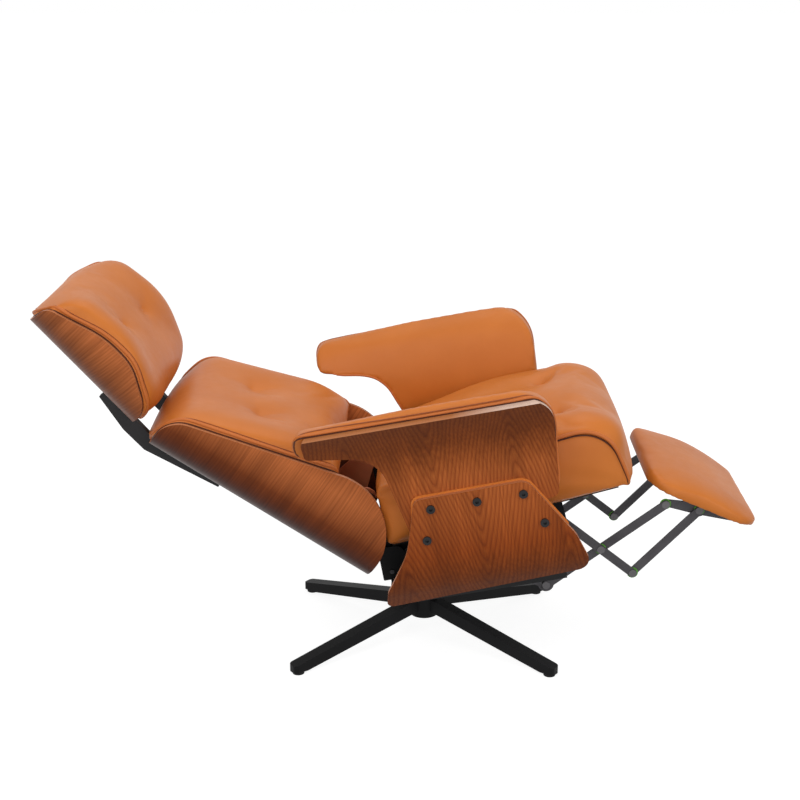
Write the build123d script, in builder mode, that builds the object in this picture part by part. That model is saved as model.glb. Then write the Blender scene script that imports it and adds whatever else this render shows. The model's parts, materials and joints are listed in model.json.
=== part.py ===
"""Reclining swivel armchair with a fold-out footrest.

Frame: +X forward, +Y to the sitter's left, +Z up, origin on the floor under the swivel axis.
The rest pose is fully reclined with the footrest out. All sizes are in millimetres.
"""

import math
import os

from build123d import *

os.makedirs("parts", exist_ok=True)

# Clearances
run_gap = 0.05
touch_gap = 0.3

# Swivel base
glide_r = 13.0
glide_h = 6.0
leg_reach = 364.0
leg_angle = 37.5
leg_w = 28.0
leg_round = 9.0
leg_tip_h = 17.0
leg_foot = 34.0
leg_root_h = 31.0
leg_root_z = 66.0
hub_r = 32.0
hub_z = 46.0
hub_h = 66.0
hub_floor = 8.0
post_r = 14.0
washer_t = 2.0
washer_r = 27.0
collar_r = 26.0
collar_h = 14.0

# Chassis on the swivel
chassis_tilt = 10.5
chassis_z = 200.0
saddle_r = 76.0
saddle_t = 6.0
gusset_t = 6.0
gusset_y = 50.0
beam_low = 4.0
beam_h = 22.0
beam_l = 36.0
beam_rear = -50.0
beam_front = 60.0
rail_in = 262.0
rail_low = 6.0
rail_high = 36.0
rail_rear = -52.0
rail_front = 306.0
plate_rear = -84.0
plate_high = 102.0

# Bent plywood sides
ply_t = 12.0
panel_y = 333.0
panel_bend_w = 130.0
panel_bend_r = 180.0
panel_bend_angle = 30.0
panel_toe = 48.0
panel_high = 257.0
panel_low = 12.0
panel_rear = -77.0
panel_front = 355.0
trim_t = 3.0
trim_edge = 4.0
flare_w = 264.0
flare_r = 294.0
arm_ply_top = 425.0
arm_ply_low = panel_bend_w + 2.0
arm_low = 208.0
arm_top = 454.0
arm_crown_y = 350.0
arm_in = 258.0
arm_tip = -174.0
arm_under = 356.0
arm_nose = 334.0
arm_pad_over = 4.0
arm_tip_over = 19.0
bolt_r = 4.0
bolt_head_r = 9.0
bolt_head_h = 4.5
bolt_spots = [(55.0, 231.0), (150.0, 231.0), (245.0, 231.0), (278.0, 162.0), (36.0, 165.0)]

# Linkage plates, from the innermost layer outward
plate_t = 4.0
layer_gap = 2.0
layer_in = 152.0
link_w = 18.5
pin_r = 5.0
head_r = 8.5
head_t = 1.5
spacer_r = 9.0
swing_slack = 2.6
open_slack = 7.0
crank_rim = 5.0
crank_tube_r = 9.0

# Seat
seat_x = -77.0
seat_z = 316.0
seat_tilt = 16.0
seat_half = 235.0
seat_len = 527.0
seat_side_h = 136.0
seat_crown = 30.0
deck_t = 15.0
deck_half = 210.0
deck_rear = 6.0
deck_front = 500.0
front_link_l = 78.0
front_link_lean = 20.0
rear_foot = (-69.5, 232.0)
front_swing_at = (227.0, -40.0)
rear_swing_at = (51.0, -36.0)
lift_at = (360.0, -65.0)
hinge_at = (-22.0, 85.0)
crank_foot = (164.0, 227.2)

# Footrest linkage pivots
cross_tail = (266.7, 191.2)
cross_mid = (382.0, 279.0)
lift_tip = (453.0, 223.9)
cross_tip = (517.1, 381.9)
carry_tip = (590.0, 369.0)

# Footrest
rest_x = 487.0
rest_z = 431.0
rest_drop = 22.6
rest_rear = -12.0
rest_front = 240.0
rest_half = 190.0
rest_corner = 62.0
rest_board_t = 5.0
rest_board_in = 9.0
rest_edge = 16.0
rest_crown = 33.0
rest_lip = 5.0
rest_skirt = 6.0
flange_t = 3.0
flange_w = 20.0

# Back and head
back_x = -110.0
back_z = 209.0
back_rise = 33.05
back_half = 248.0
shell_t = 10.0
shell_r = 98.0
back_low = 20.0
back_high = 568.0
back_cushion_low = 195.0
back_edge_low = 228.0
back_edge_high = 96.0
back_crown_low = 207.0
head_x = -622.0
head_z = 559.0
head_rise = 47.9
head_half = 230.0
head_high = 303.0
head_edge = 113.0
head_crown = 149.0
bar_in = 112.0
bar_w = 18.0
bar_depth = 35.0
bar_end = 21.0
bar_low = 390.0
bar_high = 86.0
bar_free = 2.0
hinge_r = 6.0
hinge_in = 144.0
bracket_w = 34.0
foot_w = 26.0
foot_l = 110.0

# Sewn tufts, and how much of a cushion's crown is left in its middle
seat_fill = 1.0
back_fill = 0.8
head_fill = 0.4
tuft_r = 60.0
tuft_d = 20.0
seat_tufts = [(398.0, 118.0), (416.0, -118.0)]
back_tufts = [(427.0, 78.0), (398.0, -78.0)]
head_tufts = [(145.0, 80.0), (160.0, -80.0)]


def turned(x, y, angle):
    """Rotate a point in the side view by an angle in degrees."""
    a = math.radians(angle)
    return (x * math.cos(a) - y * math.sin(a), x * math.sin(a) + y * math.cos(a))


def chassis_point(u, w):
    """Side view position of a point of the tilted chassis."""
    x, z = turned(u, w, chassis_tilt)
    return (x, chassis_z + z)


def seat_point(u, w):
    """Side view position of a point of the seat."""
    x, z = turned(u, w, seat_tilt)
    return (seat_x + x, seat_z + z)


def back_point(u, n):
    """Side view position of a point u up the back and n in front of it."""
    x, z = turned(u, -n, 180.0 - back_rise)
    return (back_x + x, back_z + z)


def head_point(u, n):
    """Side view position of a point u up the headrest and n in front of it."""
    x, z = turned(u, -n, 180.0 - head_rise)
    return (head_x + x, head_z + z)


def side_plane(y):
    """Upright plane along the chair: local x is X, local y is Z, facing -Y."""
    return Plane(origin=(0, y, 0), x_dir=(1, 0, 0), z_dir=(0, -1, 0))


def tilted_side(point, angle, y):
    """Upright plane along the chair, turned by an angle about a point."""
    a = math.radians(angle)
    return Plane(origin=(point[0], y, point[1]), x_dir=(math.cos(a), 0, math.sin(a)), z_dir=(0, -1, 0))


def cross_plane(point, angle):
    """Plane across the chair at a point: local x is Y, facing along the given rise."""
    a = math.radians(angle)
    return Plane(origin=(point[0], 0, point[1]), x_dir=(0, 1, 0), z_dir=(math.cos(a), 0, math.sin(a)))


def reclined_side(point, rise, y):
    """Side plane of a leaning back: local x runs up it, local y points in front of it."""
    a = math.radians(rise)
    return Plane(origin=(point[0], y, point[1]), x_dir=(-math.cos(a), 0, math.sin(a)), z_dir=(0, 1, 0))


def reclined_cross(point, rise):
    """Plane across a leaning back: local y points in front of it, facing up it."""
    a = math.radians(rise)
    return Plane(origin=(point[0], 0, point[1]), x_dir=(0, -1, 0), z_dir=(-math.cos(a), 0, math.sin(a)))


def plate_start(side, inner, thick):
    """Y of the face a plate is extruded from, toward -Y, on the right (-1) or left (+1)."""
    return -inner if side < 0 else inner + thick


def layer(index):
    """Distance of a linkage layer's inner face from the middle of the chair."""
    return layer_in + index * (plate_t + layer_gap)


def rounded_loop(corners):
    """Closed outline of straight lines with a round of its own at each corner."""
    count = len(corners)
    starts = []
    ends = []
    mids = []
    for i in range(count):
        x, y, r = corners[i]
        here = Vector(x, y)
        before = (Vector(*corners[i - 1][:2]) - here).normalized()
        after = (Vector(*corners[(i + 1) % count][:2]) - here).normalized()
        half = math.radians(before.get_angle(after)) / 2
        reach = r / math.tan(half)
        starts.append(here + before * reach)
        ends.append(here + after * reach)
        mids.append(here + (before + after).normalized() * (r / math.sin(half) - r))
    for i in range(count):
        if corners[i][2] > 0:
            ThreePointArc(starts[i], mids[i], ends[i])
        Line(ends[i], starts[(i + 1) % count])


def save(piece, name):
    """Name a piece and write it to its own file."""
    piece.label = name
    export_step(piece, f"parts/{name}.step")


def side_names(stem):
    """Right and left names of a mirrored piece."""
    return [(-1, f"{stem}_right"), (1, f"{stem}_left")]


# Base: hub, four legs, glides
hub_top = hub_z + hub_h
with BuildPart() as base_hub:
    with BuildSketch(Plane.XY.offset(hub_z)):
        Circle(hub_r)
    extrude(amount=hub_h)
    with BuildSketch(Plane.XY.offset(hub_z + hub_floor)):
        Circle(post_r + run_gap)
    extrude(amount=hub_h, mode=Mode.SUBTRACT)
save(base_hub.part, "base_hub")

leg_root_top = leg_root_z + leg_root_h
leg_names = [("front_left", leg_angle), ("rear_left", 180 - leg_angle),
             ("rear_right", 180 + leg_angle), ("front_right", -leg_angle)]
for leg_name, angle in leg_names:
    a = math.radians(angle)
    leg_plane = Plane(origin=(0, 0, 0), x_dir=(math.cos(a), math.sin(a), 0),
                      z_dir=(math.sin(a), -math.cos(a), 0))
    with BuildPart() as base_leg:
        with BuildSketch(leg_plane):
            with BuildLine():
                Polyline((0, leg_root_z), (leg_reach - leg_foot, glide_h), (leg_reach, glide_h),
                         (leg_reach, glide_h + leg_tip_h), (0, leg_root_top), close=True)
            make_face()
        extrude(amount=leg_w / 2, both=True)
        with BuildSketch(Plane.XY):
            Circle(hub_r)
        extrude(amount=leg_root_top + leg_root_h, mode=Mode.SUBTRACT)
        outward = Axis((0, 0, 0), (math.cos(a), math.sin(a), 0))
        fillet(base_leg.faces().sort_by(outward)[-1].edges().filter_by(Axis.Z), radius=leg_round)
    save(base_leg.part, f"base_leg_{leg_name}")

with BuildPart() as floor_glides:
    with BuildSketch(Plane.XY):
        for leg_name, angle in leg_names:
            with Locations(turned(leg_reach - leg_foot / 2, 0, angle)):
                Circle(glide_r)
    extrude(amount=glide_h)
save(floor_glides.part, "floor_glides")

with BuildPart() as thrust_washer:
    with BuildSketch(Plane.XY.offset(hub_top)):
        Circle(washer_r)
        Circle(post_r + 2 * run_gap, mode=Mode.SUBTRACT)
    extrude(amount=washer_t)
save(thrust_washer.part, "thrust_washer")

# Chassis: swivel post, saddle, beams, rails, plates
collar_z = hub_top + washer_t + touch_gap
saddle_z = collar_z + collar_h
with BuildPart() as swivel_post:
    with BuildSketch(Plane.XY.offset(hub_z + hub_floor + touch_gap)):
        Circle(post_r)
    extrude(amount=saddle_z - hub_z - hub_floor - touch_gap)
    with BuildSketch(Plane.XY.offset(collar_z)):
        Circle(collar_r)
    extrude(amount=collar_h)
save(swivel_post.part, "swivel_post")

gusset_rear = beam_rear - beam_l / 2
gusset_front = beam_front + beam_l / 2
with BuildPart() as swivel_saddle:
    with BuildSketch(Plane.XY.offset(saddle_z)):
        Circle(saddle_r)
    extrude(amount=saddle_t)
    for side in (-1, 1):
        with BuildSketch(side_plane(plate_start(side, gusset_y, gusset_t))):
            with BuildLine():
                Polyline((-saddle_r + gusset_t, saddle_z), chassis_point(gusset_rear, beam_low),
                         chassis_point(gusset_front, beam_low), (saddle_r - gusset_t, saddle_z), close=True)
            make_face()
        extrude(amount=gusset_t)
save(swivel_saddle.part, "swivel_saddle")

for beam_name, beam_u in [("cross_beam_rear", beam_rear), ("cross_beam_front", beam_front)]:
    with BuildPart() as cross_beam:
        with BuildSketch(tilted_side((0, chassis_z), chassis_tilt, 0)):
            with Locations((beam_u, beam_low + beam_h / 2)):
                RectangleRounded(beam_l, beam_h, 3)
        extrude(amount=rail_in, both=True)
    save(cross_beam.part, beam_name)

# Section of the lower panel, measured from the middle of the chair
bend = math.radians(panel_bend_angle)
bend_y = panel_y - panel_bend_r
bend_in_r = panel_bend_r - ply_t


def bend_at(radius, share):
    """Point of the panel's bend at a radius, from its top (0) to its end (1)."""
    return (bend_y + radius * math.cos(bend * share), panel_bend_w - radius * math.sin(bend * share))


def toe_at(radius, along):
    """Point of the straight toe below the bend."""
    y, w = bend_at(radius, 1)
    return (y - along * math.sin(bend), w - along * math.cos(bend))


def toe_y(w):
    """Distance of the toe's inner face from the middle of the chair at a height."""
    y, top = bend_at(bend_in_r, 1)
    return y - (top - w) * math.tan(bend)


def sided(point, side):
    """Put a section point on the right or left of the chair."""
    return (side * point[0], point[1])


rail_plane = cross_plane(chassis_point(rail_rear, 0), chassis_tilt)
for side, name in side_names("side_rail"):
    with BuildPart() as side_rail:
        with BuildSketch(rail_plane):
            with BuildLine():
                Polyline((side * rail_in, rail_low), (side * toe_y(rail_low), rail_low),
                         (side * toe_y(rail_high), rail_high), (side * rail_in, rail_high), close=True)
            make_face()
        extrude(amount=rail_front - rail_rear)
    save(side_rail.part, name)

front_top = seat_point(*front_swing_at)
rear_top = seat_point(*rear_swing_at)
lean = math.radians(front_link_lean)
front_foot = (front_top[0] - front_link_l * math.sin(lean), front_top[1] - front_link_l * math.cos(lean))


def chassis_local(point):
    """Position along and above the tilted chassis of a side view point."""
    return turned(point[0], point[1] - chassis_z, -chassis_tilt)


foot_f = chassis_local(front_foot)
foot_r = chassis_local(rear_foot)
plate_low = beam_low + beam_h
for side, name in side_names("mechanism_plate"):
    start = plate_start(side, layer(5), plate_t)
    with BuildPart() as mechanism_plate:
        with BuildSketch(tilted_side((0, chassis_z), chassis_tilt, start)):
            with BuildLine():
                rounded_loop([(plate_rear, plate_low, 3), (foot_f[0] + link_w * 0.75, plate_low, 3),
                              (foot_f[0] + link_w * 0.75, foot_f[1] + link_w * 0.75, 12),
                              (foot_r[0] + 3 * link_w, foot_r[1] + link_w * 0.75, 30),
                              (plate_rear + 2.5 * link_w, plate_high, 14), (plate_rear, plate_high, 14)])
            make_face()
            with Locations(foot_f, foot_r):
                Circle(pin_r + run_gap, mode=Mode.SUBTRACT)
        extrude(amount=plate_t)
    save(mechanism_plate.part, name)

# Bent plywood sides
arm_out = panel_y - ply_t - trim_t
arm_ply_in = arm_out - ply_t
flare_y = arm_out + flare_r
flare_angle = math.asin((arm_ply_top - flare_w) / flare_r)
flare_in_r = flare_r + ply_t
section_rear = arm_tip - 4 * ply_t
section_l = panel_front + 4 * ply_t - section_rear
section_plane = cross_plane(chassis_point(section_rear, 0), chassis_tilt)
chassis_side = tilted_side((0, chassis_z), chassis_tilt, 0)
panel_loop = [(panel_rear, panel_low, 12), (panel_rear + 11, panel_low + 43, 40), (-10, 140, 150),
              (24, panel_high - 3, 18), (256, panel_high, 30), (338, 124, 60), (panel_front, 66, 0),
              (panel_front - 2, panel_low + 23, 26)]
trim_loop = [(0, arm_ply_low, 10), (22 - trim_edge, panel_high + trim_edge - 3, 20),
             (258, panel_high + trim_edge, 32), (330, 142, 8), (300, arm_ply_low, 10)]
arm_back = (-35, arm_under)
arm_ply_loop = [(arm_tip, arm_under + 25, 10), (*arm_back, 78), (14, arm_ply_low, 20), (298, arm_ply_low, 16),
                (290, arm_low - 2, 6), (arm_nose - 17, arm_low, 20), (arm_nose, arm_ply_top + ply_t, 58),
                (arm_tip, arm_ply_top + ply_t, 26)]
arm_pad_loop = [(arm_tip - arm_tip_over, arm_under + 23, 26), (arm_back[0] - 6, arm_back[1] - 4, 80),
                (14, arm_low, 10), (306, arm_low, 18), (arm_nose - 17 + arm_pad_over, arm_low + 20, 30),
                (arm_nose + arm_pad_over, arm_top - 5, 82), (110, arm_top + 4, 500),
                (arm_tip - arm_tip_over, arm_top - 13, 34)]


def flare_at(radius, share):
    """Point of the arm panel's outward flare at a radius, from its foot (0) to its top (1)."""
    turn = flare_angle * share
    return (flare_y - radius * math.cos(turn), flare_w + radius * math.sin(turn))


for side, name in side_names("lower_panel"):
    with BuildPart() as lower_panel:
        with BuildSketch(section_plane):
            with BuildLine():
                Line(sided((panel_y, panel_high + ply_t), side), sided(bend_at(panel_bend_r, 0), side))
                ThreePointArc(sided(bend_at(panel_bend_r, 0), side), sided(bend_at(panel_bend_r, 0.5), side),
                              sided(bend_at(panel_bend_r, 1), side))
                Line(sided(bend_at(panel_bend_r, 1), side), sided(toe_at(panel_bend_r, panel_toe), side))
                Line(sided(toe_at(panel_bend_r, panel_toe), side), sided(toe_at(bend_in_r, panel_toe), side))
                Line(sided(toe_at(bend_in_r, panel_toe), side), sided(bend_at(bend_in_r, 1), side))
                ThreePointArc(sided(bend_at(bend_in_r, 1), side), sided(bend_at(bend_in_r, 0.5), side),
                              sided(bend_at(bend_in_r, 0), side))
                Line(sided(bend_at(bend_in_r, 0), side), sided((panel_y - ply_t, panel_high + ply_t), side))
                Line(sided((panel_y - ply_t, panel_high + ply_t), side),
                     sided((panel_y, panel_high + ply_t), side))
            make_face()
        extrude(amount=section_l)
        with BuildSketch(chassis_side):
            with BuildLine():
                rounded_loop(panel_loop)
            make_face()
        extrude(amount=2 * panel_y, both=True, mode=Mode.INTERSECT)
        start = plate_start(side, panel_y - ply_t, ply_t)
        with BuildSketch(tilted_side((0, chassis_z), chassis_tilt, start)):
            with Locations(*bolt_spots):
                Circle(bolt_r)
        extrude(amount=ply_t, mode=Mode.SUBTRACT)
    save(lower_panel.part, name)

for side, name in side_names("panel_trim"):
    with BuildPart() as panel_trim:
        with BuildSketch(tilted_side((0, chassis_z), chassis_tilt, plate_start(side, arm_out, trim_t))):
            with BuildLine():
                rounded_loop(trim_loop)
            make_face()
            with Locations(*bolt_spots):
                Circle(bolt_r, mode=Mode.SUBTRACT)
        extrude(amount=trim_t)
    save(panel_trim.part, name)

for side, name in side_names("arm_panel"):
    with BuildPart() as arm_panel:
        with BuildSketch(section_plane):
            with BuildLine():
                Line(sided((arm_out, arm_ply_low - 10), side), sided(flare_at(flare_r, 0), side))
                ThreePointArc(sided(flare_at(flare_r, 0), side), sided(flare_at(flare_r, 0.5), side),
                              sided(flare_at(flare_r, 1), side))
                Line(sided(flare_at(flare_r, 1), side), sided(flare_at(flare_in_r, 1), side))
                ThreePointArc(sided(flare_at(flare_in_r, 1), side), sided(flare_at(flare_in_r, 0.5), side),
                              sided(flare_at(flare_in_r, 0), side))
                Line(sided(flare_at(flare_in_r, 0), side), sided((arm_ply_in, arm_ply_low - 10), side))
                Line(sided((arm_ply_in, arm_ply_low - 10), side), sided((arm_out, arm_ply_low - 10), side))
            make_face()
        extrude(amount=section_l)
        with BuildSketch(chassis_side):
            with BuildLine():
                rounded_loop(arm_ply_loop)
            make_face()
        extrude(amount=2 * panel_y, both=True, mode=Mode.INTERSECT)
        with BuildSketch(tilted_side((0, chassis_z), chassis_tilt, plate_start(side, arm_ply_in, ply_t))):
            with Locations(*bolt_spots):
                Circle(bolt_r)
        extrude(amount=ply_t, mode=Mode.SUBTRACT)
    save(arm_panel.part, name)

pad_seam = flare_at(flare_in_r, 1)
pad_crown = [pad_seam, (arm_crown_y, arm_top), (arm_crown_y - 42, arm_top - 24), (arm_in + 6, arm_top - 96),
             (arm_in + 4, arm_low - 10)]
for side, name in side_names("arm_pad"):
    with BuildPart() as arm_pad:
        with BuildSketch(section_plane):
            with BuildLine():
                Line(sided((arm_ply_in, arm_low - 10), side), sided(flare_at(flare_in_r, 0), side))
                ThreePointArc(sided(flare_at(flare_in_r, 0), side), sided(flare_at(flare_in_r, 0.5), side),
                              sided(pad_seam, side))
                Spline(*[sided(point, side) for point in pad_crown])
                Line(sided(pad_crown[-1], side), sided((arm_ply_in, arm_low - 10), side))
            make_face()
        extrude(amount=section_l)
        with BuildSketch(chassis_side):
            with BuildLine():
                rounded_loop(arm_pad_loop)
            make_face()
        extrude(amount=2 * panel_y, both=True, mode=Mode.INTERSECT)
    save(arm_pad.part, name)

bolt_l = panel_y - arm_ply_in
with BuildPart() as panel_bolts:
    for side in (-1, 1):
        with BuildSketch(tilted_side((0, chassis_z), chassis_tilt, plate_start(side, arm_ply_in, bolt_l))):
            with Locations(*bolt_spots):
                Circle(bolt_r)
        extrude(amount=bolt_l)
        with BuildSketch(tilted_side((0, chassis_z), chassis_tilt, plate_start(side, panel_y, bolt_head_h))):
            with Locations(*bolt_spots):
                Circle(bolt_head_r)
                RegularPolygon(bolt_r, 6, mode=Mode.SUBTRACT)
        extrude(amount=bolt_head_h)
save(panel_bolts.part, "panel_bolts")

# Swing links under the seat, each with its two studs
stud_l = plate_t + layer_gap + head_t
swing_links = [("front_swing_link", front_foot, front_top), ("rear_swing_link", rear_foot, rear_top)]
for stem, foot, top in swing_links:
    run = math.dist(foot, top)
    rise = math.degrees(math.atan2(top[1] - foot[1], top[0] - foot[0]))
    for side, name in side_names(stem):
        with BuildPart() as swing_link:
            with BuildSketch(side_plane(plate_start(side, layer(4), plate_t))):
                with Locations(((foot[0] + top[0]) / 2, (foot[1] + top[1]) / 2)):
                    SlotCenterToCenter(run, link_w, rotation=rise)
            extrude(amount=plate_t)
            with BuildSketch(side_plane(plate_start(side, layer(4) + plate_t, stud_l))):
                with Locations(foot):
                    Circle(pin_r)
            extrude(amount=stud_l)
            with BuildSketch(side_plane(plate_start(side, layer(4) - stud_l, stud_l))):
                with Locations(top):
                    Circle(pin_r)
            extrude(amount=stud_l)
        save(swing_link.part, name)

# Seat: deck, brackets, cushion
seat_side = tilted_side((seat_x, seat_z), seat_tilt, 0)
with BuildPart() as seat_deck:
    with BuildSketch(seat_side):
        with Locations(((deck_rear + deck_front) / 2, -deck_t / 2)):
            Rectangle(deck_front - deck_rear, deck_t)
    extrude(amount=deck_half, both=True)
save(seat_deck.part, "seat_deck")

crank_local = turned(crank_foot[0] - seat_x, crank_foot[1] - seat_z, -seat_tilt)
arm_half = bracket_w / 2
bracket_loop = [(hinge_at[0] - arm_half, hinge_at[1] + arm_half, arm_half - 1),
                (hinge_at[0] + arm_half, hinge_at[1] + arm_half, arm_half - 1),
                (hinge_at[0] + arm_half, -deck_t, 3),
                (lift_at[0] + arm_half, -deck_t, 4),
                (lift_at[0] + arm_half, lift_at[1] - arm_half, arm_half - 1),
                (lift_at[0] - arm_half, lift_at[1] - arm_half, 10),
                (crank_local[0] + 2 * arm_half, front_swing_at[1] - arm_half, 20),
                (crank_local[0] + arm_half, crank_local[1] - arm_half, arm_half - 1),
                (crank_local[0] - arm_half, crank_local[1] - arm_half, arm_half - 1),
                (crank_local[0] - arm_half, rear_swing_at[1] - arm_half, 20),
                (hinge_at[0] - arm_half, rear_swing_at[1] - arm_half, 24)]
for side, name in side_names("seat_bracket"):
    with BuildPart() as seat_bracket:
        with BuildSketch(tilted_side((seat_x, seat_z), seat_tilt, plate_start(side, layer(3), plate_t))):
            with BuildLine():
                rounded_loop(bracket_loop)
            make_face()
            with Locations(front_swing_at, lift_at, crank_local):
                Circle(pin_r + run_gap, mode=Mode.SUBTRACT)
            with Locations(rear_swing_at):
                Circle(pin_r + swing_slack, mode=Mode.SUBTRACT)
            with Locations(hinge_at):
                Circle(hinge_r, mode=Mode.SUBTRACT)
        extrude(amount=plate_t)
    save(seat_bracket.part, name)

pin_from = hinge_in - head_t
pin_to = layer(3) + plate_t
shoulder_from = hinge_in + plate_t + touch_gap
pin_steps = [(pin_from, pin_to - pin_from, hinge_r), (shoulder_from, layer(3) - shoulder_from, hinge_r + 4),
             (pin_to, head_t, hinge_r + 3)]
with BuildPart() as hinge_pins:
    for side in (-1, 1):
        for start, length, radius in pin_steps:
            with BuildSketch(tilted_side((seat_x, seat_z), seat_tilt, plate_start(side, start, length))):
                with Locations(hinge_at):
                    Circle(radius)
            extrude(amount=length)
save(hinge_pins.part, "hinge_pins")

seat_edge_loop = [(0, 0, 10), (12, seat_side_h - 10, 15), (seat_len - 21, seat_side_h + 2, 78),
                  (seat_len, 0, 10)]
seat_mid_loop = [(0, 0, 10), (8, seat_side_h + seat_crown - 16, 35),
                 (seat_len + 5, seat_side_h + seat_crown, 95), (seat_len + 18, 0, 18)]


def blended(edge, middle, share):
    """Corners part of the way from the edge outline to the middle outline."""
    return [tuple(e + (m - e) * share for e, m in zip(ec, mc)) for ec, mc in zip(edge, middle)]


def crown_height(edge, middle, steps, u, y_share):
    """Height of a cushion's front outline at a place along it and across it."""
    share = 0.0
    for (y0, s0), (y1, s1) in zip(steps, steps[1:]):
        if y0 <= y_share <= y1:
            share = s0 + (s1 - s0) * (y_share - y0) / (y1 - y0)
    corners = blended(edge, middle, share)[1:]
    for (u0, n0, r0), (u1, n1, r1) in zip(corners, corners[1:]):
        if u0 <= u <= u1:
            return n0 + (n1 - n0) * (u - u0) / (u1 - u0)
    return corners[-1][1]


crown_steps = [(-1.0, 0.0), (-0.86, 0.58), (-0.5, 0.9), (0.0, 1.0), (0.5, 0.9), (0.86, 0.58), (1.0, 0.0)]


def boxed_steps(middle):
    """Crown of a cushion with full edges: it rises fast at the sides, and has this share in the middle."""
    half = [(1.0, 0.0), (0.9, 0.78), (0.5, (0.95 + middle) / 2)]
    return [(-y, share) for y, share in half] + [(0.0, middle)] + half[::-1]


def tuft_balls(tufts, edge, middle, steps, half, place):
    """Balls that press the sewn tufts into a cushion."""
    spots = []
    for u, y in tufts:
        top = crown_height(edge, middle, steps, u, abs(y) / half)
        spot = place(u, top - tuft_d + tuft_r)
        spots.append((spot[0], y, spot[1]))
    with Locations(*spots):
        Sphere(tuft_r, mode=Mode.SUBTRACT)


seat_steps = boxed_steps(seat_fill)
with BuildPart() as seat_cushion:
    for y_share, share in seat_steps:
        with BuildSketch(tilted_side((seat_x, seat_z), seat_tilt, y_share * seat_half)):
            with BuildLine():
                rounded_loop(blended(seat_edge_loop, seat_mid_loop, share))
            make_face()
    loft()
    tuft_balls(seat_tufts, seat_edge_loop, seat_mid_loop, seat_steps, seat_half, seat_point)
save(seat_cushion.part, "seat_cushion")

# Back and head shells with their cushions
def shell_section(half, depth):
    """Bent shell section across the back: flat middle, round corners, upright wings."""
    flat = half - shell_r
    inner_r = shell_r - shell_t
    knee = shell_r * (1 - math.sqrt(0.5))
    inner_knee = inner_r * (1 - math.sqrt(0.5)) + shell_t
    Line((-half, depth), (-half, shell_r))
    ThreePointArc((-half, shell_r), (-half + knee, knee), (-flat, 0))
    Line((-flat, 0), (flat, 0))
    ThreePointArc((flat, 0), (half - knee, knee), (half, shell_r))
    Line((half, shell_r), (half, depth))
    Line((half, depth), (half - shell_t, depth))
    Line((half - shell_t, depth), (half - shell_t, shell_r))
    ThreePointArc((half - shell_t, shell_r), (half - inner_knee, inner_knee), (flat, shell_t))
    Line((flat, shell_t), (-flat, shell_t))
    ThreePointArc((-flat, shell_t), (-half + inner_knee, inner_knee), (-half + shell_t, shell_r))
    Line((-half + shell_t, shell_r), (-half + shell_t, depth))
    Line((-half + shell_t, depth), (-half, depth))


def filling_section(half, depth):
    """Space inside a shell's section, a little clear of the shell."""
    wall = shell_t + touch_gap
    flat = half - shell_r
    inner_r = shell_r - wall
    knee = inner_r * (1 - math.sqrt(0.5)) + wall
    Line((-half + wall, depth), (-half + wall, shell_r))
    ThreePointArc((-half + wall, shell_r), (-half + knee, knee), (-flat, wall))
    Line((-flat, wall), (flat, wall))
    ThreePointArc((flat, wall), (half - knee, knee), (half - wall, shell_r))
    Line((half - wall, shell_r), (half - wall, depth))
    Line((half - wall, depth), (-half + wall, depth))


deep = 300.0
back_foot = (back_x, back_z)
head_foot = (head_x, head_z)
back_wing = [(back_low, -shell_t, 0), (back_low + 20, back_edge_low, 140),
             (back_high - 2, back_edge_high, 62), (back_high, -shell_t, 0)]
head_wing = [(2, -shell_t, 0), (5, head_edge - 51, 60), (95, head_edge, 110), (175, head_edge, 200),
             (head_high - 7, head_edge - 43, 25), (head_high, -shell_t, 0)]
for name, foot, rise, half, wing, high in [
        ("back_shell", back_foot, back_rise, back_half, back_wing, back_high),
        ("head_shell", head_foot, head_rise, head_half, head_wing, head_high)]:
    with BuildPart() as shell:
        with BuildSketch(reclined_cross(foot, rise)):
            with BuildLine():
                shell_section(half, deep)
            make_face()
        extrude(amount=high + shell_t)
        with BuildSketch(reclined_side(foot, rise, 0)):
            with BuildLine():
                rounded_loop(wing)
            make_face()
        extrude(amount=half + shell_t, both=True, mode=Mode.INTERSECT)
    save(shell.part, name)

cushion_back = shell_t + touch_gap
back_edge_loop = [(back_cushion_low, cushion_back, 0), (back_cushion_low, back_edge_low - 33, 25),
                  (310, back_edge_low - 64, 200), (back_high - 2, back_edge_high - 2, 60),
                  (back_high - 1, cushion_back, 0)]
back_mid_loop = [(back_cushion_low, cushion_back, 0), (back_cushion_low, back_crown_low, 40),
                 (300, back_crown_low + 1, 200), (back_high - 14, back_edge_high + 26, 80),
                 (back_high + 14, cushion_back, 0)]
head_edge_loop = [(4, cushion_back, 0), (8, head_edge - 47, 58), (95, head_edge + 5, 110),
                  (head_high - 9, head_edge - 39, 30), (head_high - 3, cushion_back, 0)]
head_mid_loop = [(-4, cushion_back, 0), (-2, head_crown - 52, 56), (140, head_crown + 10, 220),
                 (head_high - 31, head_crown - 10, 70), (head_high + 10, cushion_back, 0)]
for name, low, rise, half, edge, middle, fill, tufts, place in [
        ("back_cushion", 0, back_rise, back_half, back_edge_loop, back_mid_loop, back_fill, back_tufts,
         back_point),
        ("head_cushion", -head_half, head_rise, head_half, head_edge_loop, head_mid_loop, head_fill,
         head_tufts, head_point)]:
    foot = place(0, 0)
    wing_steps = boxed_steps(fill)
    with BuildPart() as cushion:
        for y_share, share in wing_steps:
            with BuildSketch(reclined_side(foot, rise, y_share * half)):
                with BuildLine():
                    rounded_loop(blended(edge, middle, share))
                make_face()
        loft()
        with BuildSketch(reclined_cross(place(low, 0), rise)):
            with BuildLine():
                filling_section(half, deep)
            make_face()
        extrude(amount=2 * deep + half, mode=Mode.INTERSECT)
        tuft_balls(tufts, edge, middle, wing_steps, half, place)
    save(cushion.part, name)

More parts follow.
